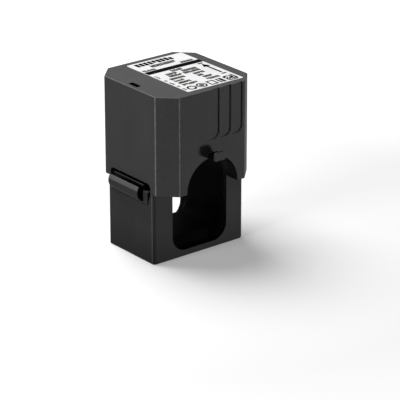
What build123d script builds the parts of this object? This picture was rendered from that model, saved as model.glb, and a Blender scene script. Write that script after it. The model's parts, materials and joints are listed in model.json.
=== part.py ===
from build123d import *
import math
import os

os.makedirs("parts", exist_ok=True)

# A current transformer that opens on a hinge and closes around an insulated cable.
# X runs across the cable, with the latch at -X and the hinge at +X. The cable runs along Y.
# Z is up, and the origin is the centre of the jaw's underside. Sizes are in millimetres.

# Outside of the two halves
width = 33.0
head_depth = 33.0
jaw_depth = 21.4
height = 50.7
head_height = 29.3
split_gap = 0.1
head_corner = 4.8
latch_corner = 0.75
hinge_corner = 2.0
edge_round = 0.25

# Walls and the clearance between pieces that are laid in each other
head_wall = 1.2
head_top_wall = 1.5
jaw_wall = 1.2
jaw_floor = 1.0
hinge_wall = 1.8
hinge_pad_height = 3.0
cavity_round = 0.8
rib_thickness = 0.8
fit = 0.1

# Opening for the cable: a round arch in the head, a U in the jaw
window_rise = 0.3
arch_inset = 0.75
arch_wall = 0.8
mouth_floor = 2.0
mouth_round = 4.7
liner_wall = 0.75
saddle_floor = 0.7
saddle_round = 4.0
saddle_plate = 1.0
cover_wall = 0.8
cover_floor = 1.0
cover_half_depth = 10.0
crown_room = 0.9

# Core: two U-shaped halves of wound strip that meet pole to pole
core_strip = 2.8
core_side_room = 3.1
core_end_room = 9.5
core_bend = 1.5
pole_gap = 0.04
spring_rise = 0.45
spring_play = 0.02
spring_sheet = 0.15
spring_length = 16.0
spring_width = 8.0

# Coil on the yoke of the upper core
former_wall = 0.8
flange_inset = 1.6
flange_foot_gap = 0.2
flange_head_gap = 0.8
flange_margin = 1.6
tape_thickness = 0.25
flange_round = 1.2
wire_bend = 0.15
pad_length = 12.0
pad_width = 14.0

# Circuit board behind the coil, its pins and diodes
board_room = 2.7
board_thickness = 0.8
board_edge = 1.0
board_round = 0.5
solder_gap = 0.1
pin_side = 0.6
pin_length = 4.4
pin_drop = 1.4
pin_fit_side = 0.01
diode_length = 4.4
diode_height = 3.4
diode_thickness = 1.5
diode_edge = 0.25
diode_foot_reach = 0.6
diode_foot_height = 2.0
diode_foot_thickness = 0.25
diode_inset = 4.6
diode_gap = 0.6

# Inlet for the lead in the back wall
inlet_gap = 0.4
inlet_bore_r = 1.8
inlet_neck_r = 2.3
inlet_flange_r = 2.7
inlet_flange = 0.8
inlet_play = 0.02

# Hinge
hinge_x = width / 2
hinge_pin_r = 0.5
pin_fit = 0.04
eye_r = 1.1
eye_clearance = 0.2
jaw_eye_half = 3.9
head_eye_end = 7.6
web_length = 3.6
web_shoulder = 2.2
open_angle = 100.0
stop_r = 2.4
stop_play = 0.5

# Latch: a tongue in the jaw's wall, with a curved lip for the finger and a hook
latch_front = -5.9
latch_back = 7.6
tongue_half = 7.9
tongue_length = 3.7
slit_foot = 0.35
rib_below_foot = 1.5
latch_plate = 0.6
latch_root = 1.0
latch_rise = 1.6
lip_inset = 0.87
lip_drop = 0.48
lip_r = 3.0
lip_wall = 0.4
lip_end_angle = 142.0
hook_depth = 0.9
hook_bite = 0.35
hook_height = 0.65
hook_drop = 0.25
hook_nose = 0.15
hook_gap = 0.08
catch_height = 0.6
catch_inset = 0.5
notch_half = 9.3
notch_rise = 2.7
notch_round = 1.5
groove_depth = 0.25
groove_height = 0.4

# Grip flutes on the front and the slot and label on the top
flute_pitch = 4.15
flute_count = 3
flute_last_x = 10.75
flute_depth = 0.4
flute_length = 14.7
flute_round = 1.9
slot_x = -14.5
slot_width = 1.6
slot_length = 4.1
slot_depth = 1.0
label_x = 3.15
label_width = 19.7
label_length = 28.4
label_thickness = 0.1
label_round = 0.4

# Lugs that a cable tie holds, one at each end of the arch
lug_width = 3.4
lug_length = 3.6
lug_thickness = 0.8
lug_lip = 0.8
lug_lip_height = 2.5
lug_root_height = 3.2
lug_corner = 0.8

# Heights that follow from the split
split_z = height - head_height
head_bottom = split_z + split_gap / 2
jaw_top = split_z - split_gap / 2
tongue_foot_z = split_z - tongue_length
lip_z = split_z - lip_drop
latch_top_z = split_z + latch_rise
notch_top_z = split_z + notch_rise

# Across the cable, from the side walls inwards: the core's strip, the liner and the opening
core_half = width / 2 - core_side_room
core_inner = core_half - core_strip
mouth_half = core_inner - fit - liner_wall
window_r = mouth_half - arch_inset
window_z = split_z + window_rise
crown_z = window_z + window_r
core_width = head_depth - 2 * core_end_room
pole_half = core_half - core_strip / 2
jaw_core_z = jaw_floor + spring_rise
saddle_z = jaw_core_z + core_strip + fit + saddle_floor

# The coil fills the chamber between the window cover and the top wall
cavity_top = height - head_top_wall
chamber_floor_z = crown_z + cover_wall + crown_room
rim_z = chamber_floor_z + cover_wall
flange_half_z = (cavity_top - flange_head_gap - rim_z - flange_foot_gap) / 2
flange_half_depth = head_depth / 2 - head_wall - board_room
yoke_mid_z = rim_z + flange_foot_gap + flange_half_z
core_top_z = yoke_mid_z + core_strip / 2
former_half_z = core_strip / 2 + fit + former_wall
former_half_y = core_width / 2 + fit + former_wall
winding_build = flange_half_z - former_half_z - flange_margin
flange_out = core_inner - flange_inset
flange_in = flange_out - former_wall

# The lugs, the lead's inlet and the board stand above one another on the back wall
lug_top_z = crown_z + lug_root_height
inlet_z = lug_top_z + inlet_gap + inlet_flange_r
pin_x = flange_out - former_wall / 2
pin_z = yoke_mid_z + flange_half_z - pin_drop
board_low_z = inlet_z + inlet_neck_r + fit
board_high_z = pin_z + board_edge
board_front = flange_half_depth + fit / 2
flute_foot_z = height - flute_length


def u_channel(plane, half, floor_z, corner, top_z):
    """A U across the cable, rounded at its bottom corners."""
    with BuildSketch(plane) as channel:
        with Locations((0, (floor_z + top_z) / 2)):
            Rectangle(2 * half, top_z - floor_z)
        fillet(channel.vertices().group_by(Axis.Y)[0], corner)
    return channel.sketch


def arch(plane, r):
    """The head's arch across the cable, a half circle on two short legs."""
    with BuildSketch(plane) as section:
        with BuildLine():
            Polyline((-r, window_z), (-r, head_bottom), (r, head_bottom), (r, window_z))
            ThreePointArc((r, window_z), (0, window_z + r), (-r, window_z))
        make_face()
    return section.sketch


def core_u(end_z, yoke_z):
    """One half of the core, from its pole faces to the outside of its yoke."""
    bend = core_bend + core_strip
    with BuildSketch(Plane.XZ) as core:
        with Locations((0, (end_z + yoke_z) / 2)):
            Rectangle(2 * core_half, abs(yoke_z - end_z))
        side = -1 if yoke_z > end_z else 0
        fillet(core.vertices().group_by(Axis.Y)[side], bend)
        inner_z = yoke_z - math.copysign(core_strip, yoke_z - end_z)
        with BuildSketch(mode=Mode.PRIVATE) as bay:
            with Locations((0, (end_z + inner_z) / 2)):
                Rectangle(2 * core_inner, abs(inner_z - end_z))
            fillet(bay.vertices().group_by(Axis.Y)[side], core_bend)
        add(bay.sketch, mode=Mode.SUBTRACT)
    return core.sketch


# Lower housing: an open box with a U mouth in both end walls
with BuildPart() as lower_housing:
    with BuildSketch(Plane.XY):
        Rectangle(width, jaw_depth)
    extrude(amount=jaw_top)
    uprights = lower_housing.edges().filter_by(Axis.Z).group_by(Axis.X)
    chamfer(uprights[0], latch_corner)
    fillet(uprights[-1], hinge_corner)
    chamfer(lower_housing.faces().sort_by(Axis.Z)[0].edges(), edge_round)

    inside_length = width - jaw_wall - hinge_wall
    inside_x = (jaw_wall - hinge_wall) / 2
    with BuildSketch(Plane.XY.offset(jaw_floor)) as inside:
        with Locations((inside_x, 0)):
            Rectangle(inside_length, jaw_depth - 2 * jaw_wall)
        fillet(inside.vertices(), cavity_round)
    extrude(amount=jaw_top - jaw_floor, mode=Mode.SUBTRACT)

    mouth = u_channel(Plane.XZ, mouth_half, mouth_floor, mouth_round, height)
    extrude(mouth, amount=jaw_depth / 2, both=True, mode=Mode.SUBTRACT)

    # Ribs that stand from the side walls against the core's legs
    rib_top_z = tongue_foot_z - rib_below_foot
    rib_start = core_half + fit
    for side, wall_face in ((-1, width / 2 - jaw_wall), (1, width / 2 - hinge_wall)):
        with BuildSketch(Plane.XY.offset(jaw_floor)):
            with Locations((side * (rib_start + wall_face) / 2, -core_width / 4),
                           (side * (rib_start + wall_face) / 2, core_width / 4)):
                Rectangle(wall_face - rib_start, rib_thickness)
        extrude(amount=rib_top_z - jaw_floor)

    # Slits that free the latch tongue at both ends, as wide at the top as the head's notch
    for side in (-1, 1):
        with BuildSketch(Plane.YZ.offset(-width / 2)):
            with BuildLine():
                Polyline((side * tongue_half, tongue_foot_z),
                         (side * (tongue_half + slit_foot), tongue_foot_z),
                         (side * notch_half, jaw_top),
                         (side * tongue_half, jaw_top), close=True)
            make_face()
        extrude(amount=jaw_wall + cavity_round, mode=Mode.SUBTRACT)

    # Shallow groove across the tongue's foot, where it bends
    with BuildSketch(Plane.YZ.offset(-width / 2)):
        with Locations((0, tongue_foot_z - groove_height / 2)):
            Rectangle(2 * (tongue_half + slit_foot), groove_height)
    extrude(amount=groove_depth, mode=Mode.SUBTRACT)

    # Hook plate above the tongue, with the hook on its inner face
    hook_inner_x = -width / 2 + latch_plate + hook_depth
    with BuildSketch(Plane.XZ.offset(-latch_back)):
        with BuildLine():
            Polyline((-width / 2, jaw_top - latch_root),
                     (-width / 2, latch_top_z),
                     (-width / 2 + latch_plate, latch_top_z),
                     (-width / 2 + latch_plate, latch_top_z - hook_drop),
                     (hook_inner_x, latch_top_z - hook_height + hook_nose),
                     (hook_inner_x, latch_top_z - hook_height),
                     (-width / 2 + latch_plate, latch_top_z - hook_height),
                     (-width / 2 + latch_plate, jaw_top - latch_root), close=True)
        make_face()
    extrude(amount=latch_back - latch_front)

    # Curved lip that the finger pulls, open along its top
    with BuildSketch(Plane.XZ.offset(-latch_back)):
        with BuildLine():
            lip_centre = (-width / 2 + lip_inset, lip_z)
            lip_turn = 270 - lip_end_angle
            outer_arc = CenterArc(lip_centre, lip_r, lip_end_angle, lip_turn)
            inner_arc = CenterArc(lip_centre, lip_r - lip_wall, lip_end_angle, lip_turn)
            Line(outer_arc @ 0, inner_arc @ 0)
            Line(outer_arc @ 1, inner_arc @ 1)
        make_face()
    extrude(amount=latch_back - latch_front)

    # Middle eye of the hinge with the shoulder that stops the head
    stop_angle = math.radians(open_angle - 90 + stop_play)
    with BuildSketch(Plane.XZ):
        with BuildLine():
            Polyline((hinge_x - eye_r, split_z), (hinge_x, split_z),
                     (hinge_x + stop_r * math.cos(stop_angle), split_z - stop_r * math.sin(stop_angle)),
                     (hinge_x + eye_r, split_z - web_shoulder),
                     (hinge_x, split_z - web_length), (hinge_x - eye_r, split_z - web_length),
                     close=True)
        make_face()
        with Locations((hinge_x, split_z)):
            Circle(eye_r)
    extrude(amount=jaw_eye_half, both=True)

    # Room for the head's two eyes, and the pin's bore
    for side in (-1, 1):
        with BuildSketch(Plane.XZ.offset(side * (jaw_eye_half + head_eye_end + eye_clearance) / 2)):
            with Locations((hinge_x, split_z)):
                Circle(eye_r + eye_clearance)
        extrude(amount=(head_eye_end + eye_clearance - jaw_eye_half) / 2, both=True,
                mode=Mode.SUBTRACT)
    with BuildSketch(Plane.XZ):
        with Locations((hinge_x, split_z)):
            Circle(hinge_pin_r + pin_fit)
    extrude(amount=jaw_eye_half, both=True, mode=Mode.SUBTRACT)

# Jaw saddle: lines the U, closes the core in and shows its two poles
with BuildPart() as jaw_saddle:
    saddle_half_depth = jaw_depth / 2 - jaw_wall - fit
    core_room = core_width / 2 + fit
    outside = u_channel(Plane.XZ, mouth_half + liner_wall, jaw_floor + fit / 2,
                        mouth_round + liner_wall, jaw_top)
    extrude(outside, amount=saddle_half_depth, both=True)
    plate_left = -width / 2 + jaw_wall + fit
    plate_right = width / 2 - hinge_wall - fit
    with BuildSketch(Plane.XY.offset(jaw_top - saddle_plate)) as plate:
        with Locations(((plate_left + plate_right) / 2, 0)):
            Rectangle(plate_right - plate_left, 2 * saddle_half_depth)
        fillet(plate.vertices(), cavity_round)
    extrude(amount=saddle_plate)
    channel = u_channel(Plane.XZ, mouth_half, saddle_z, saddle_round, height)
    extrude(channel, amount=core_room, both=True, mode=Mode.SUBTRACT)
    # The channel drops towards both ends like a bell mouth
    for side in (-1, 1):
        throat = u_channel(Plane.XZ.offset(side * core_room), mouth_half, saddle_z, saddle_round,
                           height)
        lip = u_channel(Plane.XZ.offset(side * saddle_half_depth), mouth_half, mouth_floor,
                        mouth_round, height)
        loft([throat, lip], ruled=True, mode=Mode.SUBTRACT)
    # Room for the lower core under the channel and behind its sides
    with BuildSketch(Plane.XZ):
        with Locations((0, jaw_top / 2)):
            Rectangle(2 * (core_half + fit), jaw_top)
        with BuildSketch(mode=Mode.PRIVATE) as kept:
            with Locations((0, (saddle_z - saddle_floor + height) / 2)):
                Rectangle(2 * (mouth_half + liner_wall), height - saddle_z + saddle_floor)
            fillet(kept.vertices().group_by(Axis.Y)[0], core_bend)
        add(kept.sketch, mode=Mode.SUBTRACT)
    extrude(amount=core_room, both=True, mode=Mode.SUBTRACT)

# Lower core
with BuildPart() as lower_core:
    extrude(core_u(split_z - pole_gap / 2, jaw_core_z), amount=core_width / 2, both=True)

# Leaf spring that lifts the lower core against the upper one
with BuildPart() as core_spring:
    half_span = spring_length / 2
    foot_z = jaw_floor + spring_play
    spring_top_z = jaw_floor + spring_rise - spring_play
    with BuildSketch(Plane.XZ):
        with BuildLine():
            under = ThreePointArc((-half_span, foot_z), (0, spring_top_z - spring_sheet),
                                  (half_span, foot_z))
            over = ThreePointArc((-half_span, foot_z + spring_sheet), (0, spring_top_z),
                                 (half_span, foot_z + spring_sheet))
            Line(under @ 0, over @ 0)
            Line(under @ 1, over @ 1)
        make_face()
    extrude(amount=spring_width / 2, both=True)

# Hinge pin
with BuildPart() as hinge_pin:
    with BuildSketch(Plane.XZ):
        with Locations((hinge_x, split_z)):
            Circle(hinge_pin_r)
    extrude(amount=head_eye_end, both=True)

# Upper housing: an eight-sided cap with an arch through its front and back walls
with BuildPart() as upper_housing:
    with BuildSketch(Plane.XY.offset(head_bottom)) as octagon:
        Rectangle(width, head_depth)
        chamfer(octagon.vertices(), head_corner)
    extrude(amount=height - head_bottom)
    fillet(upper_housing.edges().filter_by(Axis.Z), edge_round)
    fillet(upper_housing.faces().sort_by(Axis.Z)[-1].edges(), edge_round)

    with BuildSketch(Plane.XY.offset(head_bottom)) as inner_octagon:
        Rectangle(width, head_depth)
        chamfer(inner_octagon.vertices(), head_corner)
        offset(amount=-head_wall, kind=Kind.INTERSECTION, mode=Mode.REPLACE)
    extrude(amount=cavity_top - head_bottom, mode=Mode.SUBTRACT)

    # Thick pad inside the hinge wall
    with BuildSketch(Plane.XY.offset(head_bottom)):
        with Locations((width / 2 - (head_wall + hinge_wall) / 2, 0)):
            Rectangle(hinge_wall - head_wall, 2 * (head_eye_end + head_wall))
    extrude(amount=hinge_pad_height)

    # Outer eyes of the hinge
    for side in (-1, 1):
        with BuildSketch(Plane.XZ.offset(side * (jaw_eye_half + eye_clearance + head_eye_end) / 2)):
            with BuildLine():
                Polyline((hinge_x - eye_r, split_z), (hinge_x + eye_r, split_z),
                         (hinge_x, split_z + web_length), (hinge_x - eye_r, split_z + web_length),
                         close=True)
            make_face()
            with Locations((hinge_x, split_z)):
                Circle(eye_r)
        extrude(amount=(head_eye_end - jaw_eye_half - eye_clearance) / 2, both=True)
    with BuildSketch(Plane.XZ):
        with Locations((hinge_x, split_z)):
            Circle(hinge_pin_r + pin_fit)
    extrude(amount=head_eye_end, both=True, mode=Mode.SUBTRACT)
    with BuildSketch(Plane.XZ):
        with Locations((hinge_x, split_z)):
            Circle(eye_r + eye_clearance)
    extrude(amount=jaw_eye_half + eye_clearance, both=True, mode=Mode.SUBTRACT)

    # Arch for the cable, lined from each end wall inwards to the window cover
    lining_start = cover_half_depth + fit
    lining_end = head_depth / 2 - head_wall
    for side in (-1, 1):
        lining = arch(Plane.XZ.offset(side * (lining_start + lining_end) / 2), window_r + arch_wall)
        extrude(lining, amount=(lining_end - lining_start) / 2, both=True)
    extrude(arch(Plane.XZ, window_r), amount=head_depth / 2, both=True, mode=Mode.SUBTRACT)

    # Notch over the latch
    with BuildSketch(Plane.YZ.offset(-width / 2)) as notch:
        with Locations((0, (head_bottom + notch_top_z) / 2)):
            Rectangle(2 * notch_half, notch_top_z - head_bottom)
        fillet(notch.vertices().group_by(Axis.Y)[-1], notch_round)
    extrude(amount=head_wall, mode=Mode.SUBTRACT)

    # Slot in the top
    with BuildSketch(Plane.XY.offset(height)):
        with Locations((slot_x, 0)):
            Rectangle(slot_width, slot_length)
    extrude(amount=-slot_depth, mode=Mode.SUBTRACT)

    # Hole for the lead's inlet
    with BuildSketch(Plane.XZ.offset(-head_depth / 2)):
        with Locations((0, inlet_z)):
            Circle(inlet_neck_r + fit / 2)
    extrude(amount=head_wall, mode=Mode.SUBTRACT)

    # Grip flutes, each a wedge that deepens towards its right-hand step
    for number in range(flute_count):
        step_x = flute_last_x - number * flute_pitch
        start_x = step_x - flute_pitch
        front_y = -head_depth / 2
        with BuildSketch(Plane.XY.offset(flute_foot_z)):
            with BuildLine():
                Polyline((start_x, front_y), (step_x, front_y + flute_depth), (step_x, front_y),
                         close=True)
            make_face()
        wedge = extrude(amount=height - flute_foot_z, mode=Mode.PRIVATE)
        with BuildSketch(Plane.XZ.offset(head_depth / 2), mode=Mode.PRIVATE) as flute_face:
            with Locations(((start_x + step_x) / 2, (flute_foot_z + height) / 2)):
                Rectangle(flute_pitch, height - flute_foot_z)
            fillet(flute_face.vertices().group_by(Axis.Y)[0].sort_by(Axis.X)[-1], flute_round)
        column = extrude(flute_face.sketch, amount=-flute_depth, mode=Mode.PRIVATE)
        add(wedge & column, mode=Mode.SUBTRACT)

    # Lugs for a cable tie over both ends of the arch
    for side in (-1, 1):
        wall_y = side * (head_depth / 2 - head_wall / 2)
        face_y = side * head_depth / 2
        with BuildSketch(Plane.YZ.offset(-lug_width / 2)):
            with BuildLine():
                tip_y = face_y + side * lug_length
                saddle_y = (face_y + tip_y - side * lug_lip) / 2
                behind_lip = (tip_y - side * lug_lip, crown_z + lug_lip_height)
                Polyline((wall_y, lug_top_z), (wall_y, crown_z), (tip_y, crown_z),
                         (tip_y, crown_z + lug_lip_height), behind_lip)
                ThreePointArc(behind_lip, (saddle_y, crown_z + lug_thickness), (face_y, lug_top_z))
                Line((face_y, lug_top_z), (wall_y, lug_top_z))
            make_face()
        extrude(amount=lug_width)
        # The lip's upper corners are rounded
        with BuildSketch(Plane.XZ.offset(-tip_y)):
            with Locations((0, crown_z + lug_lip_height / 2)):
                Rectangle(lug_width, lug_lip_height)
                with BuildSketch(mode=Mode.PRIVATE) as kept_face:
                    Rectangle(lug_width, lug_lip_height)
                    fillet(kept_face.vertices().group_by(Axis.Y)[-1], lug_corner)
                add(kept_face.sketch, mode=Mode.SUBTRACT)
        extrude(amount=tip_y - saddle_y, mode=Mode.SUBTRACT)

# Window cover: closes the head from below, with the arch's tunnel between the core's legs
with BuildPart() as window_cover:
    cover_half = core_half + fit + cover_wall
    wing_half = width / 2 - head_wall - fit
    with BuildSketch(Plane.XY.offset(head_bottom)):
        Rectangle(2 * cover_half, 2 * cover_half_depth)
        for side in (-1, 1):
            with Locations((0, side * (cover_half_depth - cover_wall / 2))):
                Rectangle(2 * wing_half, cover_wall)
    extrude(amount=rim_z - head_bottom)
    with BuildSketch(Plane.XY.offset(chamber_floor_z)) as rim:
        Rectangle(width, head_depth)
        chamfer(rim.vertices(), head_corner)
        offset(amount=-head_wall - fit, kind=Kind.INTERSECTION, mode=Mode.REPLACE)
    extrude(amount=cover_wall)
    with BuildSketch(Plane.XZ):
        bottom_z = head_bottom + cover_floor
        with Locations((0, (bottom_z + rim_z) / 2)):
            Rectangle(2 * (cover_half - cover_wall), rim_z - bottom_z)
        with Locations((0, window_z)):
            Circle(window_r + cover_wall, mode=Mode.SUBTRACT)
    extrude(amount=cover_half_depth - cover_wall, both=True, mode=Mode.SUBTRACT)
    extrude(arch(Plane.XZ, window_r), amount=cover_half_depth, both=True, mode=Mode.SUBTRACT)
    with BuildSketch(Plane.XY.offset(head_bottom)):
        with Locations((-pole_half, 0), (pole_half, 0)):
            Rectangle(core_strip + 2 * fit, core_width + 2 * fit)
    extrude(amount=cover_floor, mode=Mode.SUBTRACT)
    # Catch that the hook closes over
    catch_out_x = hook_inner_x - hook_bite
    catch_top_z = latch_top_z - hook_height - hook_gap
    with BuildSketch(Plane.XY.offset(catch_top_z - catch_height)):
        with Locations(((catch_out_x - cover_half) / 2, (latch_front + latch_back) / 2)):
            Rectangle(-cover_half - catch_out_x, latch_back - latch_front - 2 * catch_inset)
    extrude(amount=catch_height)

# Upper core
with BuildPart() as upper_core:
    extrude(core_u(split_z + pole_gap / 2, core_top_z), amount=core_width / 2, both=True)


def former_half(side):
    """One half of the coil former, which closes around the yoke with the other half."""
    with BuildPart() as half:
        with BuildSketch(Plane.YZ.offset(-flange_out)):
            with Locations((side * former_half_y / 2, yoke_mid_z)):
                Rectangle(former_half_y, 2 * former_half_z)
        extrude(amount=2 * flange_out)
        for flange_x in (-flange_out, flange_in):
            with BuildSketch(Plane.YZ.offset(flange_x)) as flange:
                with Locations((side * flange_half_depth / 2, yoke_mid_z)):
                    Rectangle(flange_half_depth, 2 * flange_half_z)
                outer = flange.vertices().group_by(Axis.X)[-1 if side > 0 else 0]
                fillet(outer, flange_round)
            extrude(amount=former_wall)
        with BuildSketch(Plane.YZ.offset(-flange_out)):
            with Locations((0, yoke_mid_z)):
                Rectangle(core_width + 2 * fit, core_strip + 2 * fit)
        extrude(amount=2 * flange_out, mode=Mode.SUBTRACT)
        with BuildSketch(Plane.YZ.offset(-flange_out)):
            with Locations((-side * fit / 4, yoke_mid_z)):
                Rectangle(fit, 2 * flange_half_z)
        extrude(amount=2 * flange_out, mode=Mode.SUBTRACT)
        if side > 0:
            with BuildSketch(Plane.XZ.offset(-flange_half_depth)):
                with Locations((-pin_x, pin_z), (pin_x, pin_z)):
                    Rectangle(pin_side + 2 * pin_fit_side, pin_side + 2 * pin_fit_side)
            extrude(amount=pin_length / 2, mode=Mode.SUBTRACT)
    return half.part


front_former = former_half(-1)
back_former = former_half(1)


def coil_ring(gap, build, inner_round, half_length):
    """Sleeve around the former that starts a gap above its tube."""
    with BuildPart() as sleeve:
        with BuildSketch(Plane.YZ.offset(-half_length)) as ring:
            with Locations((0, yoke_mid_z)):
                Rectangle(2 * (former_half_y + gap + build), 2 * (former_half_z + gap + build))
            fillet(ring.vertices(), inner_round + build)
            with BuildSketch(mode=Mode.PRIVATE) as hole:
                with Locations((0, yoke_mid_z)):
                    Rectangle(2 * (former_half_y + gap), 2 * (former_half_z + gap))
                fillet(hole.vertices(), inner_round)
            add(hole.sketch, mode=Mode.SUBTRACT)
        extrude(amount=2 * half_length)
    return sleeve.part


coil_half_length = flange_in - fit
winding = coil_ring(fit / 2, winding_build, wire_bend, coil_half_length)
tape = coil_ring(fit + winding_build, tape_thickness, wire_bend + winding_build, coil_half_length)

# Foam pad that presses the coil and its core down from the top wall
coil_top_z = yoke_mid_z + former_half_z + fit + winding_build + tape_thickness
with BuildPart() as coil_pad:
    with BuildSketch(Plane.XY.offset(coil_top_z + fit / 2)):
        Rectangle(pad_length, pad_width)
    extrude(amount=cavity_top - coil_top_z - fit)

# Circuit board, on end behind the coil
with BuildPart() as circuit_board:
    with BuildSketch(Plane.XZ.offset(-board_front - board_thickness)) as board:
        with Locations((0, (board_low_z + board_high_z) / 2)):
            Rectangle(2 * (pin_x + board_edge), board_high_z - board_low_z)
        fillet(board.vertices(), board_round)
        with Locations((-pin_x, pin_z), (pin_x, pin_z)):
            Rectangle(pin_side + 2 * solder_gap, pin_side + 2 * solder_gap, mode=Mode.SUBTRACT)
    extrude(amount=board_thickness)


def terminal_pin(x):
    """Square pin pressed into the rear former, which the board is soldered to."""
    with BuildPart() as pin:
        with BuildSketch(Plane.XZ.offset(-flange_half_depth + pin_length / 2)):
            with Locations((x, pin_z)):
                Rectangle(pin_side, pin_side)
        extrude(amount=-pin_length)
        chamfer(pin.faces().sort_by(Axis.Y)[-1].edges(), pin_side / 5)
    return pin.part


def suppressor_diode(x):
    """Small block that limits the voltage when the lead is open, with a bent foot at each end."""
    board_back = board_front + board_thickness
    middle_z = inlet_z + inlet_flange_r + diode_gap + diode_height / 2
    with BuildPart() as diode:
        with BuildSketch(Plane.XZ.offset(-board_back)):
            with Locations((x, middle_z)):
                Rectangle(diode_length, diode_height)
        extrude(amount=-diode_thickness)
        chamfer(diode.faces().sort_by(Axis.Y)[-1].edges(), diode_edge)
        with BuildSketch(Plane.XZ.offset(-board_back)):
            with Locations((x, middle_z)):
                Rectangle(diode_length + 2 * diode_foot_reach, diode_foot_height)
        extrude(amount=-diode_foot_thickness)
    return diode.part


# Bush in the back wall, where the lead enters
with BuildPart() as lead_inlet:
    outside_y = head_depth / 2
    inner_flange_y = outside_y - head_wall - inlet_flange
    inlet_half = head_wall / 2 + inlet_flange + inlet_play
    with BuildSketch(Plane.XZ.offset(head_wall / 2 - outside_y)):
        with Locations((0, inlet_z)):
            Circle(inlet_neck_r)
    extrude(amount=inlet_half, both=True)
    for start_y in (inner_flange_y - inlet_play, outside_y + inlet_play):
        with BuildSketch(Plane.XZ.offset(-start_y)):
            with Locations((0, inlet_z)):
                Circle(inlet_flange_r)
        extrude(amount=-inlet_flange)
    with BuildSketch(Plane.XZ.offset(head_wall / 2 - outside_y)):
        with Locations((0, inlet_z)):
            Circle(inlet_bore_r)
    extrude(amount=inlet_half, both=True, mode=Mode.SUBTRACT)

# Label on the top
with BuildPart() as top_label:
    with BuildSketch(Plane.XY.offset(height)) as sheet:
        with Locations((label_x, 0)):
            Rectangle(label_width, label_length)
        fillet(sheet.vertices(), label_round)
    extrude(amount=label_thickness)

left_pin = terminal_pin(-pin_x)
right_pin = terminal_pin(pin_x)
left_diode = suppressor_diode(diode_inset - pin_x)
right_diode = suppressor_diode(pin_x - diode_inset)

lower_housing.part.label = "lower_housing"
jaw_saddle.part.label = "jaw_saddle"
lower_core.part.label = "lower_core"
core_spring.part.label = "core_spring"
hinge_pin.part.label = "hinge_pin"
upper_housing.part.label = "upper_housing"
window_cover.part.label = "window_cover"
upper_core.part.label = "upper_core"
front_former.label = "coil_former_front"
back_former.label = "coil_former_back"
winding.label = "secondary_winding"
tape.label = "winding_tape"
coil_pad.part.label = "coil_pad"
circuit_board.part.label = "circuit_board"
left_pin.label = "terminal_pin_left"
right_pin.label = "terminal_pin_right"
left_diode.label = "suppressor_diode_left"
right_diode.label = "suppressor_diode_right"
lead_inlet.part.label = "lead_inlet"
top_label.part.label = "top_label"

export_step(lower_housing.part, "parts/lower_housing.step")
export_step(jaw_saddle.part, "parts/jaw_saddle.step")
export_step(lower_core.part, "parts/lower_core.step")
export_step(core_spring.part, "parts/core_spring.step")
export_step(hinge_pin.part, "parts/hinge_pin.step")
export_step(upper_housing.part, "parts/upper_housing.step")
export_step(window_cover.part, "parts/window_cover.step")
export_step(upper_core.part, "parts/upper_core.step")
export_step(front_former, "parts/coil_former_front.step")
export_step(back_former, "parts/coil_former_back.step")
export_step(winding, "parts/secondary_winding.step")
export_step(tape, "parts/winding_tape.step")
export_step(coil_pad.part, "parts/coil_pad.step")
export_step(circuit_board.part, "parts/circuit_board.step")
export_step(left_pin, "parts/terminal_pin_left.step")
export_step(right_pin, "parts/terminal_pin_right.step")
export_step(left_diode, "parts/suppressor_diode_left.step")
export_step(right_diode, "parts/suppressor_diode_right.step")
export_step(lead_inlet.part, "parts/lead_inlet.step")
export_step(top_label.part, "parts/top_label.step")
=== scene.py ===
import json
import math
import random

import bmesh
import bpy
from mathutils import Color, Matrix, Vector


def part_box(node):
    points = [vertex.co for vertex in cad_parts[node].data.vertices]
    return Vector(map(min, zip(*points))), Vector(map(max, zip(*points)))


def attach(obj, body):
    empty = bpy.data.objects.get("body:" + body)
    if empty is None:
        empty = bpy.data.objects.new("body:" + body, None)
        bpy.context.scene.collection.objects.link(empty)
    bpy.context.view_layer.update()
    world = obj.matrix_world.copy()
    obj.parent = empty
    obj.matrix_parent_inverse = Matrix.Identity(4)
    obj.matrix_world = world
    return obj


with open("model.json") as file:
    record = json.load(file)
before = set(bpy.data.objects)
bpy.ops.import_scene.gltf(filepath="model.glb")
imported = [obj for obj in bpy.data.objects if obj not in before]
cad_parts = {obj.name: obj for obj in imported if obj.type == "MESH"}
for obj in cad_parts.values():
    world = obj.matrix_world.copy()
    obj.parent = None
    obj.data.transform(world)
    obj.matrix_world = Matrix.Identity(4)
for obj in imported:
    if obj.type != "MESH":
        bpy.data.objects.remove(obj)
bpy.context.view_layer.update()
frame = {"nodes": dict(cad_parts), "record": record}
nodes = frame["nodes"]
scene = bpy.context.scene

MM = 0.001


# Node trees

# A noise texture's values mostly lie between these two
NOISE_LOW = 0.3
NOISE_HIGH = 0.7

# Where a mix node has its colour sockets
MIX_SHARE = 0
MIX_UNDER = 6
MIX_OVER = 7
MIX_RESULT = 2

# A wave texture of scale 1 repeats after this many metres
WAVE_LENGTH = 0.314

BEVEL_SAMPLES = 6
NEUTRAL = (1.0, 1.0, 1.0)

# Short names for the shader's sockets
SOCKETS = {
    "colour": "Base Color",
    "metallic": "Metallic",
    "roughness": "Roughness",
    "specular": "Specular IOR Level",
    "normal": "Normal",
}


def shade(level, tint=NEUTRAL):
    """Linear colour of a screen level from 0 to 255, times a tint."""
    grey = level / 255
    linear = Color((grey, grey, grey)).from_srgb_to_scene_linear()
    return (linear.r * tint[0], linear.g * tint[1], linear.b * tint[2], 1.0)


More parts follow.
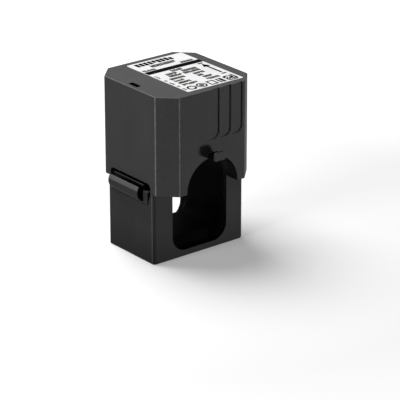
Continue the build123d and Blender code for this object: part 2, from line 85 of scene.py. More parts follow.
class Tree:
    """Short calls to build the node tree of a material or the world."""

    def __init__(self, owner):
        owner.use_nodes = True
        self.nodes = owner.node_tree.nodes
        self.links = owner.node_tree.links
        self.place = None
        self.split = None

    def add(self, kind, **settings):
        made = self.nodes.new(kind)
        for key, value in settings.items():
            setattr(made, key, value)
        return made

    def feed(self, socket, value):
        """Sets a socket to a plain value, or links it to an output."""
        if isinstance(value, (int, float, tuple)):
            socket.default_value = value
        else:
            self.links.new(value, socket)

    def fill(self, made, values):
        """Sets or links a node's inputs by their names."""
        for name, value in values.items():
            self.feed(made.inputs[name], value)

    def where(self):
        """The shaded point's place in the frame at rest, in metres."""
        if self.place is None:
            self.place = self.add("ShaderNodeTexCoord").outputs["Object"]
        return self.place

    def axis(self, letter):
        """The shaded point's place along X, Y or Z."""
        if self.split is None:
            self.split = self.add("ShaderNodeSeparateXYZ")
            self.feed(self.split.inputs["Vector"], self.where())
        return self.split.outputs[letter]

    def math(self, operation, first, second=None, *others):
        """Result for one value, or for several, two at a time."""
        made = self.add("ShaderNodeMath", operation=operation)
        self.feed(made.inputs[0], first)
        if second is not None:
            self.feed(made.inputs[1], second)
        result = made.outputs["Value"]
        if others:
            return self.math(operation, result, *others)
        return result

    def off(self, value, centre):
        """How far a value is from a centre, to either side."""
        return self.math("ABSOLUTE", self.math("SUBTRACT", value, centre))

    def hypotenuse(self, side, other):
        squares = [self.math("MULTIPLY", length, length) for length in (side, other)]
        return self.math("SQRT", self.math("ADD", *squares))

    def remap(self, value, low, high, from_low=NOISE_LOW, from_high=NOISE_HIGH):
        """Goes from low to high as value goes from from_low to from_high."""
        made = self.add("ShaderNodeMapRange")
        self.fill(made, {"Value": value, "From Min": from_low, "From Max": from_high,
                         "To Min": low, "To Max": high})
        return made.outputs["Result"]

    def texture(self, kind, inputs, mapping=None, **settings):
        """Outputs of a texture in the frame's metres, which mapping may stretch or turn."""
        vector = self.where()
        if mapping:
            moved = self.add("ShaderNodeMapping")
            self.fill(moved, {"Vector": vector, **mapping})
            vector = moved.outputs["Vector"]
        made = self.add(kind, **settings)
        self.fill(made, {"Vector": vector, **inputs})
        return made.outputs

    def noise(self, cells, detail=3.0, rough=0.55, stretch=None):
        """Noise with about this many cells to the metre, longer where stretch is under 1."""
        mapping = {"Scale": stretch} if stretch else None
        inputs = {"Scale": cells, "Detail": detail, "Roughness": rough}
        return self.texture("ShaderNodeTexNoise", inputs, mapping)["Fac"]

    def bands(self, pitch, profile, **inputs):
        """Bands along X, with this pitch in metres."""
        return self.texture("ShaderNodeTexWave", {"Scale": WAVE_LENGTH / pitch, **inputs},
                            wave_type="BANDS", bands_direction="X", wave_profile=profile)["Fac"]

    def ramp(self, share, stops):
        """Colour along a ramp, whose stops are pairs of place and colour."""
        made = self.add("ShaderNodeValToRGB")
        elements = made.color_ramp.elements
        while len(elements) < len(stops):
            elements.new(0.5)
        for element, (position, colour) in zip(elements, stops):
            element.position = position
            element.color = colour
        self.feed(made.inputs["Fac"], share)
        return made.outputs["Color"]

    def mottle(self, noise, dark, light):
        """Colour that goes from dark to light with a noise."""
        return self.ramp(noise, [(NOISE_LOW, dark), (NOISE_HIGH, light)])

    def mix(self, share, under, over):
        """Colour that goes from under to over as share goes from 0 to 1."""
        made = self.add("ShaderNodeMix", data_type="RGBA")
        self.feed(made.inputs[MIX_SHARE], share)
        self.feed(made.inputs[MIX_UNDER], under)
        self.feed(made.inputs[MIX_OVER], over)
        return made.outputs[MIX_RESULT]

    def bump(self, height, distance, strength, under=None):
        """Normal of a surface with this relief, laid over the normal under it."""
        made = self.add("ShaderNodeBump")
        self.fill(made, {"Height": height, "Distance": distance, "Strength": strength})
        if under is not None:
            self.feed(made.inputs["Normal"], under)
        return made.outputs["Normal"]

    def rounded(self, radius):
        """Normal of the surface with its sharp edges rounded."""
        made = self.add("ShaderNodeBevel", samples=BEVEL_SAMPLES)
        self.feed(made.inputs["Radius"], radius)
        return made.outputs["Normal"]


class Paint(Tree):
    """The node tree of a new material, with its shader."""

    def __init__(self, name):
        self.material = bpy.data.materials.new(name)
        super().__init__(self.material)
        self.shader = self.nodes["Principled BSDF"]

    def done(self, **looks):
        """Sets or links the shader's sockets, and gives the material."""
        for look, value in looks.items():
            self.feed(self.shader.inputs[SOCKETS[look]], value)
        return self.material


# Places on the two housings, in the frame's metres

cap_low, cap_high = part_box("upper_housing")
jaw_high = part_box("lower_housing")[1]
mounts = {mount["name"]: mount for mount in frame["record"]["mounts"]}
window = mounts["conductor_window"]

# Eight-sided head: half its width, how far its corners are cut, its top, and its lug's lip
HEAD_HALF = -cap_low.x
HEAD_CORNER = 4.8 * MM
HEAD_TOP = cap_high.z
LUG_LIP = cap_high.y - 0.8 * MM

# Arch through the head, and the slot in its top
ARCH_RADIUS = window["dims"]["r_mm"] * MM
ARCH_CENTRE = window["pos_m"][2]
SLOT_MIDDLE = -14.5 * MM
SLOT_HALF = 0.85 * MM
SLOT_END = 2.1 * MM
SLOT_DEPTH = 2.0 * MM

# Jaw: half its length, its corners, and the mouth cut in its end walls
JAW_END = jaw_high.y
JAW_CORNER = 0.75 * MM
MOUTH_HALF = 9.75 * MM
MOUTH_ROUND = 4.7 * MM
MOUTH_FLOOR = 2.0 * MM

# Latch: centre and inner radius of its curved finger lip, its two ends and its top
LIP_X = -15.63 * MM
LIP_Z = 20.92 * MM
LIP_RADIUS = 2.6 * MM
LATCH_ENDS = (-5.88 * MM, 7.58 * MM)
LATCH_TOP = jaw_high.z

# Masks start or stop between these two distances from a face
FADE = 0.03 * MM
SKIN = 0.1 * MM


def between(tree, value, low, high):
    """1 where a value lies from low to high."""
    return tree.math("MULTIPLY", tree.remap(value, 0.0, 1.0, low - FADE, low),
                     tree.remap(value, 1.0, 0.0, high, high + FADE))


def inside_channel(tree, flat_half, centre, radius, opens_up):
    """1 inside a U or an arch: half width of its flat part, and centre and radius of its round."""
    off_middle = tree.math("ABSOLUTE", tree.axis("X"))
    beside = tree.math("MAXIMUM", tree.math("SUBTRACT", off_middle, flat_half), 0.0)
    if opens_up:
        along = tree.math("SUBTRACT", centre, tree.axis("Z"))
    else:
        along = tree.math("SUBTRACT", tree.axis("Z"), centre)
    reach = tree.hypotenuse(beside, tree.math("MAXIMUM", along, 0.0))
    return tree.remap(reach, 1.0, 0.0, radius + FADE, radius + SKIN)


def head_painted_highlights(tree):
    """Painted highlight: 1 on the head's upright edges and its rim, less away from the latch's
    side, and a little on the cut corner faces.
    """
    highlight_starts = 0.22 * MM
    highlight_full = 0.08 * MM
    least_on_ends = 0.6
    least_on_hinge_side = 0.3
    most_on_corner_face = 0.11

    x = tree.axis("X")
    off_x = tree.math("ABSOLUTE", x)
    off_y = tree.math("ABSOLUTE", tree.axis("Y"))
    wall = tree.math("SUBTRACT", tree.math("MAXIMUM", off_x, off_y), HEAD_HALF)
    cut = tree.math("SUBTRACT", tree.math("ADD", off_x, off_y), 2 * HEAD_HALF - HEAD_CORNER)
    cut = tree.math("MULTIPLY", cut, math.sqrt(0.5))
    upright = tree.math("MINIMUM", wall, cut)
    above = tree.math("SUBTRACT", tree.axis("Z"), HEAD_TOP)
    rim = tree.math("MINIMUM", tree.math("MAXIMUM", wall, cut), above)
    line = tree.remap(tree.math("MAXIMUM", upright, rim), 0.0, 1.0, -highlight_starts, -highlight_full)

    side = tree.remap(tree.math("SUBTRACT", off_x, off_y), least_on_ends, 1.0,
                      -HEAD_CORNER, HEAD_CORNER)
    hinge_side = tree.remap(x, 1.0, least_on_hinge_side, 0.0, HEAD_HALF - HEAD_CORNER)
    highlighted = tree.math("MULTIPLY", line, side, hinge_side)
    corner_face = tree.remap(cut, 0.0, most_on_corner_face, -SKIN, -FADE)
    return tree.math("MAXIMUM", highlighted, corner_face)


def head_painted_shade(tree):
    """Painted shade: 1 on the arch's lining, on the lugs behind their lips, and in the slot in the
    top.
    """
    clear_of_wall = 0.06 * MM
    x, y, z = (tree.axis(letter) for letter in "XYZ")
    lugs = between(tree, tree.math("ABSOLUTE", y), HEAD_HALF + clear_of_wall, LUG_LIP - SKIN)
    slot = tree.math("MULTIPLY",
                     between(tree, x, SLOT_MIDDLE - SLOT_HALF, SLOT_MIDDLE + SLOT_HALF),
                     between(tree, y, -SLOT_END, SLOT_END),
                     between(tree, z, HEAD_TOP - SLOT_DEPTH, HEAD_TOP - SKIN))
    arch = inside_channel(tree, 0.0, ARCH_CENTRE, ARCH_RADIUS, opens_up=False)
    return tree.math("MAXIMUM", arch, lugs, slot)


def jaw_painted_highlights(tree):
    """Painted highlight: 1 on the jaw's upright edges."""
    highlight_starts = 0.3 * MM
    off_side = tree.off(tree.math("ABSOLUTE", tree.axis("X")), HEAD_HALF)
    off_end = tree.off(tree.math("ABSOLUTE", tree.axis("Y")), JAW_END - JAW_CORNER)
    return tree.remap(tree.math("ADD", off_side, off_end), 1.0, 0.0, SKIN, highlight_starts)


def jaw_painted_shade(tree):
    """Painted shade: 1 on the cut faces of the mouth and in the lip's hollow, and a little towards
    the foot, darker towards the bottom.
    """
    hollow_fade = 0.08 * MM
    below_rim = 0.15 * MM
    foot_share = 0.45
    foot_height = 10 * MM

    x, y, z = (tree.axis(letter) for letter in "XYZ")
    mouth = inside_channel(tree, MOUTH_HALF - MOUTH_ROUND, MOUTH_FLOOR + MOUTH_ROUND, MOUTH_ROUND,
                           opens_up=True)
    reach = tree.hypotenuse(tree.off(x, LIP_X), tree.off(z, LIP_Z))
    hollow = tree.math("MULTIPLY",
                       tree.remap(reach, 1.0, 0.0, LIP_RADIUS, LIP_RADIUS + hollow_fade),
                       between(tree, y, *LATCH_ENDS),
                       tree.remap(z, 1.0, 0.0, LATCH_TOP - below_rim, LATCH_TOP))
    # Painted shade: the jaw gets darker towards the bottom
    foot = tree.remap(z, foot_share, 0.0, 0.0, foot_height)
    return tree.math("MAXIMUM", mouth, hollow, foot)


# Materials

# Painted shade: black for what lies in deep shade, and the stretch of noise that makes lines along
# an axis
PAINTED_SHADE_BLACK = shade(5)
LINE_STRETCH = 0.05


def moulded_plastic(name, dark, light, rough, grain=1.0, specular=0.5,
                    painted_top_light=None, facing_up=(0.25, 0.8), highlight_level=None, highlight_mask=None, painted_shade_mask=None):
    """Matt moulded plastic with a fine eroded grain, its colours as screen levels."""
    # what faces up is lightened to the up-facing level, a painted light from above, fading in over
    # the normal's rise in facing_up
    # an edge mask lightens edges to the edge level, a painted highlight, and a shade mask paints
    # black where shade falls, a painted shade
    paint = Paint(name)
    colour = paint.mottle(paint.noise(70, detail=4.0), shade(dark), shade(light))

    flow_lift = 6
    flow = paint.noise(260, detail=2.0, stretch=(1.0, 1.0, 0.25))
    colour = paint.mix(paint.remap(flow, 0.0, 0.25, 0.45, 0.75), colour, shade(light + flow_lift))
    # Painted light: faces that turn up are made lighter, as if lit from above
    if painted_top_light:
        facing = paint.add("ShaderNodeSeparateXYZ")
        paint.feed(facing.inputs["Vector"], paint.add("ShaderNodeTexCoord").outputs["Normal"])
        upward = paint.remap(facing.outputs["Z"], 0.0, 1.0, *facing_up)
        patches = paint.remap(paint.noise(180, detail=4.0), 0.8, 1.0)
        colour = paint.mix(paint.math("MULTIPLY", upward, patches), colour, shade(painted_top_light))
    # Painted highlight: edges are made lighter, broken up in patches
    if highlight_mask:
        patches = paint.remap(paint.noise(900, detail=2.0), 0.6, 1.0)
        colour = paint.mix(paint.math("MULTIPLY", highlight_mask(paint), patches), colour, shade(highlight_level))
    # Painted shade: black in hollows and under things, where shade falls
    if painted_shade_mask:
        colour = paint.mix(painted_shade_mask(paint), colour, PAINTED_SHADE_BLACK)

    waves = paint.bump(paint.noise(120, detail=2.0), distance=0.02 * MM, strength=0.05,
                       under=paint.rounded(0.12 * MM))
    return paint.done(
        colour=colour,
        roughness=paint.remap(paint.noise(500), rough - 0.015, rough + 0.02),
        specular=specular,
        normal=paint.bump(paint.noise(3400, detail=2.0, rough=0.7),
                          distance=0.012 * MM * grain, strength=0.8, under=waves))


def strip_steel(name, yoke_on_top):
    """Half of a core wound from strip: thin layers that follow its U, with varnish between."""
    strip = 0.28 * MM
    varnish = shade(38)
    rust = shade(96, (1.0, 0.84, 0.68))

    paint = Paint(name)
    low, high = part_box(name)
    across = paint.math("SUBTRACT", paint.math("ABSOLUTE", paint.axis("X")), high.x)
    if yoke_on_top:
        along = paint.math("SUBTRACT", paint.axis("Z"), high.z)
    else:
        along = paint.math("SUBTRACT", low.z, paint.axis("Z"))
    depth = paint.math("MAXIMUM", across, along)
    layer = paint.math("FRACT", paint.math("DIVIDE", depth, strip))
    layers = paint.ramp(layer, [(0.0, varnish), (0.2, shade(128)),
                                (0.8, shade(142)), (1.0, varnish)])
    stain = paint.remap(paint.noise(400, detail=4.0), 0.0, 0.45, 0.5, 0.8)
    grooves = paint.bump(layers, distance=0.02 * MM, strength=0.8, under=paint.rounded(0.08 * MM))
    return paint.done(
        colour=paint.mix(stain, layers, rust),
        metallic=0.85,
        roughness=paint.remap(paint.noise(900), 0.42, 0.6),
        normal=paint.bump(paint.noise(4000, stretch=(1.0, LINE_STRETCH, 1.0)),
                          distance=0.006 * MM, strength=0.7, under=grooves))


def bare_metal(name, level, tint, rough, lines_along):
    """Drawn or rolled metal with fine lines along one axis."""
    darker = 14
    lighter = 8
    spot_darker = 40
    rough_span = 0.18

    paint = Paint(name)
    stretch = tuple(LINE_STRETCH if letter == lines_along else 1.0 for letter in "XYZ")
    lines = paint.noise(3000, stretch=stretch)
    spots = paint.noise(300, detail=4.0)
    metal = paint.mottle(lines, shade(level - darker, tint), shade(level + lighter, tint))
    return paint.done(
        colour=paint.mix(paint.remap(spots, 0.0, 0.3, 0.5, 0.8), metal,
                         shade(level - spot_darker, tint)),
        metallic=1.0,
        roughness=paint.remap(spots, rough, rough + rough_span),
        normal=paint.bump(lines, distance=0.006 * MM, strength=0.7, under=paint.rounded(0.05 * MM)))


def enamelled_wire():
    """Turns of enamelled wire side by side along the yoke."""
    paint = Paint("enamelled_wire")
    turns = paint.bands(0.9 * MM, "SIN", Distortion=0.35, Detail=1.0)
    copper = paint.ramp(turns, [(0.0, shade(70, (1.0, 0.4, 0.2))),
                                (0.5, shade(170, (1.0, 0.42, 0.2))),
                                (1.0, shade(205, (1.0, 0.5, 0.26)))])
    return paint.done(
        colour=paint.mix(paint.remap(paint.noise(500), 0.0, 0.35), copper,
                         shade(140, (1.0, 0.36, 0.16))),
        metallic=0.75,
        roughness=paint.remap(paint.noise(800), 0.22, 0.4),
        normal=paint.bump(turns, distance=0.06 * MM, strength=0.9))


def polyester_tape():
    """Yellow tape wrapped around the coil, with the edges of its turns just showing."""
    paint = Paint("polyester_tape")
    turns = paint.bands(5.0 * MM, "SAW", Distortion=0.6)
    yellow = paint.mottle(paint.noise(240), shade(206, (1.0, 0.66, 0.12)),
                          shade(222, (1.0, 0.74, 0.2)))
    wrinkles = paint.bump(paint.noise(420, detail=2.0, stretch=(0.3, 1.0, 1.0)),
                          distance=0.05 * MM, strength=0.6)
    return paint.done(
        colour=paint.mix(paint.remap(turns, 0.0, 0.35, 0.8, 1.0), yellow,
                         shade(180, (1.0, 0.56, 0.08))),
        roughness=paint.remap(paint.noise(900), 0.16, 0.3),
        normal=paint.bump(turns, distance=0.04 * MM, strength=0.7, under=wrinkles))


def cell_foam():
    """Grey foam with open cells."""
    paint = Paint("cell_foam")
    off_cell = paint.texture("ShaderNodeTexVoronoi", {"Scale": 2600}, feature="F1")["Distance"]
    cells = paint.ramp(off_cell, [(0.1, shade(96)), (0.6, shade(48))])
    return paint.done(
        colour=paint.mix(paint.remap(paint.noise(160), 0.0, 0.3), cells, shade(70)),
        roughness=0.95,
        normal=paint.bump(paint.math("SUBTRACT", 1.0, off_cell), distance=0.12 * MM, strength=0.9))


def board_laminate():
    """Green solder mask over tracks, on glass weave."""
    upright = (math.pi / 2, 0.0, 0.0)
    paint = Paint("board_laminate")
    tracks = paint.texture("ShaderNodeTexBrick", {"Scale": 420, "Mortar Size": 0.03},
                           {"Rotation": upright})["Fac"]
    mask = paint.mix(tracks, shade(92, (0.25, 1.0, 0.45)), shade(60, (0.2, 1.0, 0.4)))
    weave = paint.bump(paint.noise(2600, detail=1.0), distance=0.01 * MM, strength=0.5)
    return paint.done(
        colour=paint.mix(paint.remap(paint.noise(700), 0.0, 0.3), mask,
                         shade(76, (0.3, 1.0, 0.5))),
        roughness=paint.remap(paint.noise(300), 0.25, 0.4),
        normal=paint.bump(tracks, distance=0.03 * MM, strength=0.6, under=weave))


def diode_block(side):
    """Black epoxy block with tinned feet at both ends."""
    foot_length = 0.62 * MM
    low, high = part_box("suppressor_diode_" + side)
    paint = Paint("diode_" + side)
    off_middle = paint.off(paint.axis("X"), (low.x + high.x) / 2)
    foot = paint.math("GREATER_THAN", off_middle, (high.x - low.x) / 2 - foot_length)
    epoxy = paint.mottle(paint.noise(900), shade(30), shade(42))
    tin = paint.mottle(paint.noise(1200), shade(170), shade(205))
    return paint.done(
        colour=paint.mix(foot, epoxy, tin),
        metallic=foot,
        roughness=paint.remap(paint.noise(1500), 0.35, 0.5),
        normal=paint.bump(paint.noise(3000), distance=0.012 * MM, strength=0.7,
                          under=paint.rounded(0.08 * MM)))


def inlet_rubber():
    """Soft black rubber."""
    paint = Paint("inlet_rubber")
    return paint.done(
        colour=paint.mottle(paint.noise(500, detail=4.0), shade(26), shade(38)),
        roughness=paint.remap(paint.noise(1400), 0.6, 0.78),
        normal=paint.bump(paint.noise(2400), distance=0.02 * MM, strength=0.7,
                          under=paint.rounded(0.15 * MM)))


def label_film():
    """White printing film, a little uneven."""
    warm = (1.0, 1.0, 0.995)
    paint = Paint("label_film")
    return paint.done(
        colour=paint.mottle(paint.noise(140, detail=4.0), shade(240, warm), shade(250, warm)),
        roughness=paint.remap(paint.noise(600), 0.42, 0.56),
        specular=0.3,
        normal=paint.bump(paint.noise(260, detail=2.0), distance=0.01 * MM, strength=0.5))


def print_ink():
    """Black ink with hardly any gloss."""
    paint = Paint("print_ink")
    return paint.done(
        colour=paint.mottle(paint.noise(1800), shade(4), shade(14)),
        roughness=paint.remap(paint.noise(900), 0.38, 0.55),
        specular=0.004,
        normal=paint.bump(paint.noise(3000), distance=0.004 * MM, strength=0.6))


def dress(name, material):
    """Gives a CAD node this material in every slot."""
    shape = nodes[name]
    if not shape.material_slots:
        shape.data.materials.append(material)
    for slot in shape.material_slots:
        slot.material = material


# The up-facing levels below are painted light from above, and the edge levels are painted
# highlights
housing_plastic = moulded_plastic("housing_plastic", 55, 60, 0.5, specular=0.02, painted_top_light=87,
                                  highlight_level=122, highlight_mask=head_painted_highlights, painted_shade_mask=head_painted_shade)
# The jaw's plastic is a darker copy of the housing's plastic, as painted shade
jaw_plastic_painted_shade = moulded_plastic("jaw_plastic_painted_shade", 45, 50, 0.5, specular=0.02, painted_top_light=88,
                              facing_up=(0.16, 0.26), highlight_level=90, highlight_mask=jaw_painted_highlights, painted_shade_mask=jaw_painted_shade)
# Near-black liners: painted shade for the dark inside of the window
liner_plastic_painted_shade = moulded_plastic("liner_plastic_painted_shade", 5, 9, 0.6, grain=1.3, specular=0.01)
former_plastic = moulded_plastic("former_plastic", 196, 208, 0.4)
tinned_pin = bare_metal("tinned_pin", 190, (1.0, 0.98, 0.94), 0.22, "Y")

LOOKS = {
    "upper_housing": housing_plastic,
    "lower_housing": jaw_plastic_painted_shade,
    "jaw_saddle": liner_plastic_painted_shade,
    "window_cover": liner_plastic_painted_shade,
    "upper_core": strip_steel("upper_core", yoke_on_top=True),
    "lower_core": strip_steel("lower_core", yoke_on_top=False),
    "core_spring": bare_metal("spring_steel", 150, (0.94, 0.97, 1.0), 0.25, "X"),
    "hinge_pin": bare_metal("pin_steel", 176, (1.0, 0.99, 0.97), 0.2, "Y"),
    "coil_former_front": former_plastic,
    "coil_former_back": former_plastic,
    "secondary_winding": enamelled_wire(),
    "winding_tape": polyester_tape(),
    "coil_pad": cell_foam(),
    "circuit_board": board_laminate(),
    "terminal_pin_left": tinned_pin,
    "terminal_pin_right": tinned_pin,
    "suppressor_diode_left": diode_block("left"),
    "suppressor_diode_right": diode_block("right"),
    "lead_inlet": inlet_rubber(),
    "top_label": label_film(),
}
for node_name, look in LOOKS.items():
    dress(node_name, look)


# Print on the label: plain bars, rows of strokes, an arrow and simple marks, in millimetres

label_low, label_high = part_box("top_label")
LABEL_LEFT = label_low.x / MM
LABEL_RIGHT = label_high.x / MM
LABEL_MARGIN = 0.05

# Heights of the ink's two faces, in metres
INK_LOW = label_high.z + 0.012 * MM
INK_HIGH = INK_LOW + 0.01 * MM

INK_SEED = 5
chance = random.Random(INK_SEED)
ink = bmesh.new()


def ink_loop(corners, level):
    """New corners at one height, from places in mm."""
    return [ink.verts.new((x * MM, y * MM, level)) for x, y in corners]


def join_loops(loop, other):
    """Faces between two loops with as many corners."""
    count = len(loop)
    for here in range(count):
        there = (here + 1) % count
        ink.faces.new((loop[here], loop[there], other[there], other[here]))


def solid_shape(corners):
    """A thin flat piece of print with these corners."""
    lower = ink_loop(corners, INK_LOW)
    upper = ink_loop(corners, INK_HIGH)
    ink.faces.new(list(reversed(lower)))
    ink.faces.new(upper)
    join_loops(lower, upper)


def open_shape(outer, inner):
    """A closed flat band of print between two outlines with as many corners."""
    loops = [ink_loop(outer, INK_LOW), ink_loop(outer, INK_HIGH),
             ink_loop(inner, INK_HIGH), ink_loop(inner, INK_LOW)]
    for loop, following in zip(loops, loops[1:] + loops[:1]):
        join_loops(loop, following)


def rectangle(left, right, front, back):
    return [(left, front), (right, front), (right, back), (left, back)]


def circle(middle_x, middle_y, radius, parts=32):
    turns = [2 * math.pi * part / parts for part in range(parts)]
    return [(middle_x + radius * math.cos(turn), middle_y + radius * math.sin(turn))
            for turn in turns]


def bar(left, right, front, back):
    solid_shape(rectangle(left, right, front, back))


# Stroke and gap of each kind of row
HEAVY = (1.15, 0.28)
MEDIUM = (0.7, 0.16)
SMALL = (0.5, 0.14)
FINE = (0.52, 0.12)
SIDEWAYS = (0.36, 0.26)

# Least and most share of a gap, what a row's strokes lose as a share, and a column's in mm
GAP_SHARES = (0.8, 1.3)
ROW_LOSSES = (0.0, 0.0, 0.0, 0.25)
COLUMN_LOSSES = (0.0, 0.1, 0.18)

# Lets a last stroke in that just fits
JUST_FITS = 1e-6


def strokes(kind, left, right, front, back):
    """A row of upright strokes of uneven height, grey from afar and with no letters in it."""
    stroke, gap = kind
    while left + stroke <= right + JUST_FITS:
        cut = chance.choice(ROW_LOSSES) * (back - front)
        if chance.random() < 0.5:
            bar(left, left + stroke, front, back - cut)
        else:
            bar(left, left + stroke, front + cut, back)
        left += stroke + gap * chance.uniform(*GAP_SHARES)


def column(kind, left, right, front, back):
    """The same kind of row, turned to run along the label's edge."""
    stroke, gap = kind
    while front + stroke <= back + JUST_FITS:
        bar(left, right - chance.choice(COLUMN_LOSSES), front, front + stroke)
        front += stroke + gap * chance.uniform(*GAP_SHARES)


# Head of the label: a heavy row, a lighter one and two small ones, over a black band
strokes(HEAVY, -4.9, 9.3, 10.9, 13.4)
strokes(MEDIUM, -1.7, 6.9, 8.4, 10.2)
strokes(SMALL, -6.2, -1.6, 6.5, 7.8)
strokes(SMALL, 7.3, 11.9, 6.5, 7.8)
bar(LABEL_LEFT + LABEL_MARGIN, LABEL_RIGHT - LABEL_MARGIN, 3.85, 6.2)

# Rows below the band: each one's front and back, and the left and right of its groups
ROWS = [
    (2.05, 3.55, [(0.4, 4.4)]),
    (0.15, 1.65, [(-2.8, 1.2), (2.9, 8.0)]),
    (-1.55, -0.05, [(-3.0, 1.4), (2.2, 8.1)]),
    (-3.65, -2.25, [(-4.3, 1.2), (4.0, 7.9)]),
    (-5.55, -4.15, [(-4.3, -0.6), (4.0, 6.1)]),
    (-7.45, -6.05, [(-4.4, 0.3), (4.5, 8.1)]),
    (-9.45, -8.05, [(-4.4, 0.9), (4.2, 9.2)]),
]
for front, back, groups in ROWS:
    for left, right in groups:
        strokes(FINE, left, right, front, back)

# Groups in the column at the label's left edge
for front, back in ((-0.6, 2.1), (-3.6, -2.2), (-7.0, -4.6), (-9.4, -7.8), (-12.4, -10.4)):
    column(SIDEWAYS, -6.4, -5.6, front, back)

# Arrow between two short bars at the label's right edge
ARROW_MIDDLE = 11.1
SHAFT_HALF = 0.35
POINT_HALF = 1.2
END_BAR_HALF = 0.8
bar(ARROW_MIDDLE - SHAFT_HALF, ARROW_MIDDLE + SHAFT_HALF, -6.8, 0.2)
solid_shape([(ARROW_MIDDLE - POINT_HALF, -0.3), (ARROW_MIDDLE + POINT_HALF, -0.3),
             (ARROW_MIDDLE, 2.3)])
for front, back in ((2.6, 3.3), (-8.1, -7.4)):
    bar(ARROW_MIDDLE - END_BAR_HALF, ARROW_MIDDLE + END_BAR_HALF, front, back)

# Marks at the foot: a ring, a ring round a disc, an open square and two bars
MARKS_MIDDLE = -12.0
MARKS_FRONT = MARKS_MIDDLE - 1.6
MARKS_BACK = MARKS_MIDDLE + 1.6
SQUARE_LINE = 0.5
for middle, outer, inner in ((-3.8, 1.5, 0.9), (-0.3, 1.7, 1.2)):
    open_shape(circle(middle, MARKS_MIDDLE, outer), circle(middle, MARKS_MIDDLE, inner))
solid_shape(circle(-0.3, MARKS_MIDDLE, 0.8))
open_shape(rectangle(2.1, 4.7, MARKS_FRONT, MARKS_BACK),
           rectangle(2.1 + SQUARE_LINE, 4.7 - SQUARE_LINE,
                     MARKS_FRONT + SQUARE_LINE, MARKS_BACK - SQUARE_LINE))
for left, right in ((5.5, 6.1), (6.5, 7.5)):
    bar(left, right, MARKS_FRONT, MARKS_BACK)

# Block of small squares in the corner, about two in three of them filled
CELLS = 9
CELL = 0.42
CELL_GAP = 0.02
CELL_SHARE = 0.65
CELLS_LEFT = 8.3
CELLS_FRONT = -13.7
for column_number in range(CELLS):
    for row_number in range(CELLS):
        if chance.random() < CELL_SHARE:
            left = CELLS_LEFT + column_number * CELL
            front = CELLS_FRONT + row_number * CELL
            bar(left, left + CELL - CELL_GAP, front, front + CELL - CELL_GAP)

print_mesh = bpy.data.meshes.new("label_print")
ink.to_mesh(print_mesh)
ink.free()
print_mesh.materials.append(print_ink())
label_print = bpy.data.objects.new("label_print", print_mesh)
scene.collection.objects.link(label_print)
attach(label_print, "head")


# Floor and background

# Half the floor's width, and how far it lies below the object
FLOOR_HALF = 2.0
FLOOR_DROP = 0.02 * MM

# It is pale where it is seen, and darker in the light that it throws back on the object
FLOOR_SEEN = (0.88, 0.88, 0.88, 1.0)
FLOOR_THROWN = (0.15, 0.15, 0.15, 1.0)

# It glows fully from GLOW_FULL outwards, and little near the object, to keep the shadow there
GLOW_STARTS = 0.09
GLOW_FULL = 0.35
GLOW_LEAST = 0.24

# The background is white where it is seen, and lights the object this much
BACKGROUND_LIGHT = 0.04


def bare_tree(owner):
    """A tree without the nodes that it starts with."""
    tree = Tree(owner)
    tree.nodes.clear()
    return tree


def seen_directly(tree):
    """1 for camera, glossy and transmission rays."""
    rays = tree.add("ShaderNodeLightPath").outputs
    seen = tree.math("MAXIMUM", rays["Is Camera Ray"], rays["Is Glossy Ray"])
    return tree.math("MAXIMUM", seen, rays["Is Transmission Ray"])


def pale_floor():
    """Matt pale floor with a glow that makes it white further out."""
    material = bpy.data.materials.new("pale_floor")
    tree = bare_tree(material)
    seen = seen_directly(tree)
    matt = tree.add("ShaderNodeBsdfDiffuse")
    tree.feed(matt.inputs["Color"], tree.mix(seen, FLOOR_THROWN, FLOOR_SEEN))
    away = tree.add("ShaderNodeVectorMath", operation="LENGTH")
    tree.feed(away.inputs[0], tree.where())
    level = tree.remap(away.outputs["Value"], GLOW_LEAST, 1.0, GLOW_STARTS, GLOW_FULL)
    glow = tree.add("ShaderNodeEmission")
    tree.feed(glow.inputs["Strength"], tree.math("MULTIPLY", seen, level))
    both = tree.add("ShaderNodeAddShader")
    tree.feed(both.inputs[0], matt.outputs["BSDF"])
    tree.feed(both.inputs[1], glow.outputs["Emission"])
    output = tree.add("ShaderNodeOutputMaterial")
    tree.feed(output.inputs["Surface"], both.outputs["Shader"])
    return material


def white_background():
    """World that is white where it is seen and lights the object only a little."""
    world = bpy.data.worlds.new("studio")
    tree = bare_tree(world)
    sky = tree.add("ShaderNodeBackground")
    tree.feed(sky.inputs["Strength"],
              tree.remap(seen_directly(tree), BACKGROUND_LIGHT, 1.0, 0.0, 1.0))
    output = tree.add("ShaderNodeOutputWorld")
    tree.feed(output.inputs["Surface"], sky.outputs["Background"])
    return world


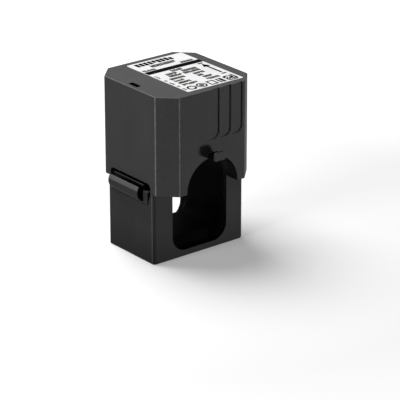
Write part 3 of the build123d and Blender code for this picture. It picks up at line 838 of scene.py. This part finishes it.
floor_mesh = bpy.data.meshes.new("floor")
floor_corners = [(x * FLOOR_HALF, y * FLOOR_HALF, 0.0) for x, y in rectangle(-1, 1, -1, 1)]
floor_mesh.from_pydata(floor_corners, [], [(0, 1, 2, 3)])
floor_mesh.materials.append(pale_floor())
floor = bpy.data.objects.new("floor", floor_mesh)
scene.collection.objects.link(floor)
floor.location.z = -FLOOR_DROP
# The right lamp stands below the floor's level, so the floor must not block it
floor.visible_shadow = False
scene.world = white_background()


# Lamps, each a disc of this size in metres and power in watts, turned to the object's middle

OBJECT_MIDDLE = Vector((0.0, 0.0, 0.025))


def lamp(name, place, size, watts):
    light = bpy.data.lights.new(name, "AREA")
    light.shape = "DISK"
    light.size = size
    light.energy = watts
    made = bpy.data.objects.new(name, light)
    scene.collection.objects.link(made)
    made.location = place
    made.rotation_euler = (OBJECT_MIDDLE - Vector(place)).to_track_quat("-Z", "Y").to_euler()


lamp("top_light", (-0.05, 0.24, 0.49), size=0.4, watts=2.85)
lamp("left_light", (-0.57, -0.02, 0.12), size=0.25, watts=2.4)
lamp("right_light", (0.63, -0.75, -0.31), size=0.2, watts=8.0)


# Camera: its direction and distance from the frame's origin, and how far its aim is moved

AZIMUTH = math.radians(-38.6748)
ELEVATION = math.radians(22.1686)
DISTANCE = 0.6508
AIM_RIGHT = 0.00679
AIM_UP = 0.01152
LENS = 201.8
SENSOR = 36.0
CLIP_NEAR = 0.01
CLIP_FAR = 20.0

backward = Vector((math.sin(AZIMUTH) * math.cos(ELEVATION),
                   -math.cos(AZIMUTH) * math.cos(ELEVATION),
                   math.sin(ELEVATION)))
rightward = Vector((math.cos(AZIMUTH), math.sin(AZIMUTH), 0.0))
upward = backward.cross(rightward)
camera_data = bpy.data.cameras.new("camera")
camera_data.lens = LENS
camera_data.sensor_width = SENSOR
camera_data.clip_start = CLIP_NEAR
camera_data.clip_end = CLIP_FAR
camera = bpy.data.objects.new("camera", camera_data)
scene.collection.objects.link(camera)
camera.location = rightward * AIM_RIGHT + upward * AIM_UP + backward * DISTANCE
camera.rotation_mode = "QUATERNION"
camera.rotation_quaternion = (-backward).to_track_quat("-Z", "Y")
scene.camera = camera
scene.view_settings.view_transform = "Standard"
